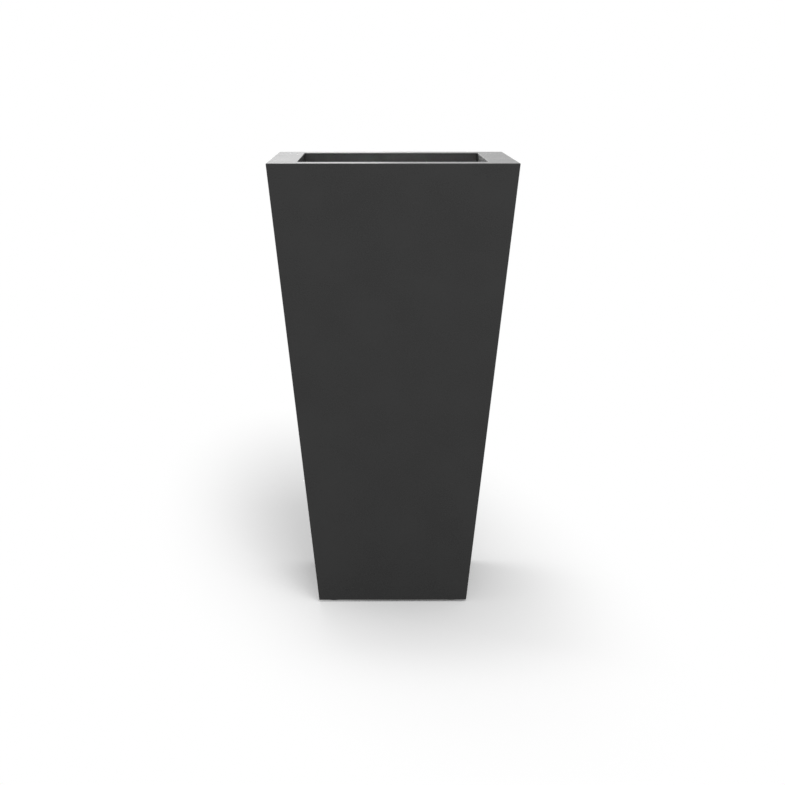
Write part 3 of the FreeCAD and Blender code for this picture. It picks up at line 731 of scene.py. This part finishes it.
# The floor that is seen, also in reflections, is paler than the one that gives the planter its light
SEEN_FLOOR = "#efefef"
UNSEEN_FLOOR = "#8c8c8c"
FLOOR_REACH = 12
FLOOR_LIFT = 0.037
# The middle, turn and half sizes of the oval that keeps the shadow, and the shares of it where it fades
FLOOR_OVAL = ((-0.03, 0.31), 10.7, (0.5, 1.56))
FLOOR_FADE = (0.14, 0.94)
ROOM_LIGHT = 0.45
LAMP_AIM = (0, 0, 0.4)
OPEN_SPREAD = 180


def background_rays(tree):
    """1 for the rays that show the background: to the camera, in reflections and through glass."""
    rays = add(tree, "LightPath").outputs
    direct = add(tree, "Math", {0: rays["Is Camera Ray"], 1: rays["Is Glossy Ray"]}, operation="MAXIMUM")
    shown = add(tree, "Math", {0: direct.outputs[0], 1: rays["Is Transmission Ray"]}, operation="MAXIMUM")
    return shown.outputs[0]


def stage_floor():
    """A pale floor that keeps the planter's shadow and fades to plain white beyond an oval round it."""
    mesh = bpy.data.meshes.new("studio_floor")
    shape = bmesh.new()
    bmesh.ops.create_grid(shape, x_segments=1, y_segments=1, size=FLOOR_REACH)
    shape.to_mesh(mesh)
    shape.free()
    floor = bpy.data.objects.new("studio_floor", mesh)
    scene.collection.objects.link(floor)
    material, tree = new_material("matt_studio_floor")
    place = add(tree, "TexCoord").outputs["Object"]
    middle, lean, size = FLOOR_OVAL
    oval = {"Location": (*middle, 0), "Rotation": (0, 0, radians(lean)), "Scale": (*size, 1)}
    shares = add(tree, "Mapping", {"Vector": place, **oval}, vector_type="TEXTURE")
    distance = add(tree, "VectorMath", {0: shares.outputs[0]}, operation="LENGTH")
    limits = {"Value": distance.outputs["Value"], "From Min": FLOOR_FADE[0], "From Max": FLOOR_FADE[1]}
    far = add(tree, "MapRange", limits, interpolation_type="SMOOTHSTEP")
    pale = add(tree, "BsdfDiffuse", {"Color": linear(SEEN_FLOOR)})
    lift = add(tree, "Emission", {"Strength": FLOOR_LIFT})
    near_floor = add(tree, "AddShader", {0: pale.outputs[0], 1: lift.outputs[0]})
    white = add(tree, "Emission", {"Strength": 1.0})
    seen = add(tree, "MixShader", {0: far.outputs[0], 1: near_floor.outputs[0], 2: white.outputs[0]})
    unseen = add(tree, "BsdfDiffuse", {"Color": linear(UNSEEN_FLOOR)})
    mix = add(tree, "MixShader", {0: background_rays(tree), 1: unseen.outputs[0], 2: seen.outputs[0]})
    add(tree, "OutputMaterial", {"Surface": mix.outputs[0]})
    mesh.materials.append(material)


def studio_world():
    """A plain room: full white to the camera and in reflections, and less as the light that it gives."""
    world = bpy.data.worlds.new("white_studio")
    world.use_nodes = True
    scene.world = world
    tree = world.node_tree
    tree.nodes.clear()
    strength = add(tree, "MapRange", {"Value": background_rays(tree), "To Min": ROOM_LIGHT, "To Max": 1.0})
    room = add(tree, "Background", {"Strength": strength.outputs[0], "Color": linear("#ffffff")})
    add(tree, "OutputWorld", {"Surface": room.outputs[0]})


def area_lamp(name, place, aim, size, power, spread=OPEN_SPREAD):
    """A rectangular soft lamp, its width and height in metres. A grid narrows its spread, in degrees."""
    lamp = bpy.data.lights.new(name, "AREA")
    lamp.shape = "RECTANGLE"
    lamp.size, lamp.size_y = size
    lamp.energy = power
    lamp.spread = radians(spread)
    holder = bpy.data.objects.new(name, lamp)
    holder.location = place
    holder.rotation_euler = (Vector(aim) - Vector(place)).to_track_quat("-Z", "Y").to_euler()
    scene.collection.objects.link(holder)


def photo_camera():
    camera = bpy.data.cameras.new("photo_camera")
    camera.sensor_width = SENSOR
    camera.lens = CAMERA_FOCUS / IMAGE_SIDE * SENSOR
    holder = bpy.data.objects.new("photo_camera", camera)
    holder.location = CAMERA_PLACE
    holder.rotation_euler = (radians(90 - CAMERA_PITCH), 0, radians(-CAMERA_YAW))
    scene.collection.objects.link(holder)
    scene.camera = holder


scene.view_settings.view_transform = "Standard"
stage_floor()
studio_world()
area_lamp("overhead_front", place=(0.5, -1.9, 3.4), aim=LAMP_AIM, size=(0.8, 1.8), power=34)
area_lamp("camera_side", place=(0.6, -3.7, 2.6), aim=LAMP_AIM, size=(1.2, 1.2), power=48)
area_lamp("overhead_back", place=(-0.4, 0.7, 3.6), aim=LAMP_AIM, size=(0.8, 0.8), power=28)
area_lamp("back_left", place=(-0.95, 3.2, 1.35), aim=(-0.2, 0, 0.8), size=(2.0, 1.25), power=4.8)
# The gridded lamps light the lip at the right and at the back of the mouth, and little else.
area_lamp(
    "gridded_left",
    place=(-2.1, 1.2, 1.1),
    aim=(0.17, -0.08, 0.79),
    size=(0.5, 0.3),
    power=6,
    spread=30,
)
area_lamp(
    "gridded_front",
    place=(0, -1.3, 3.0),
    aim=(0, 0.166, 0.79),
    size=(0.3, 0.06),
    power=0.09,
    spread=5,
)
photo_camera()
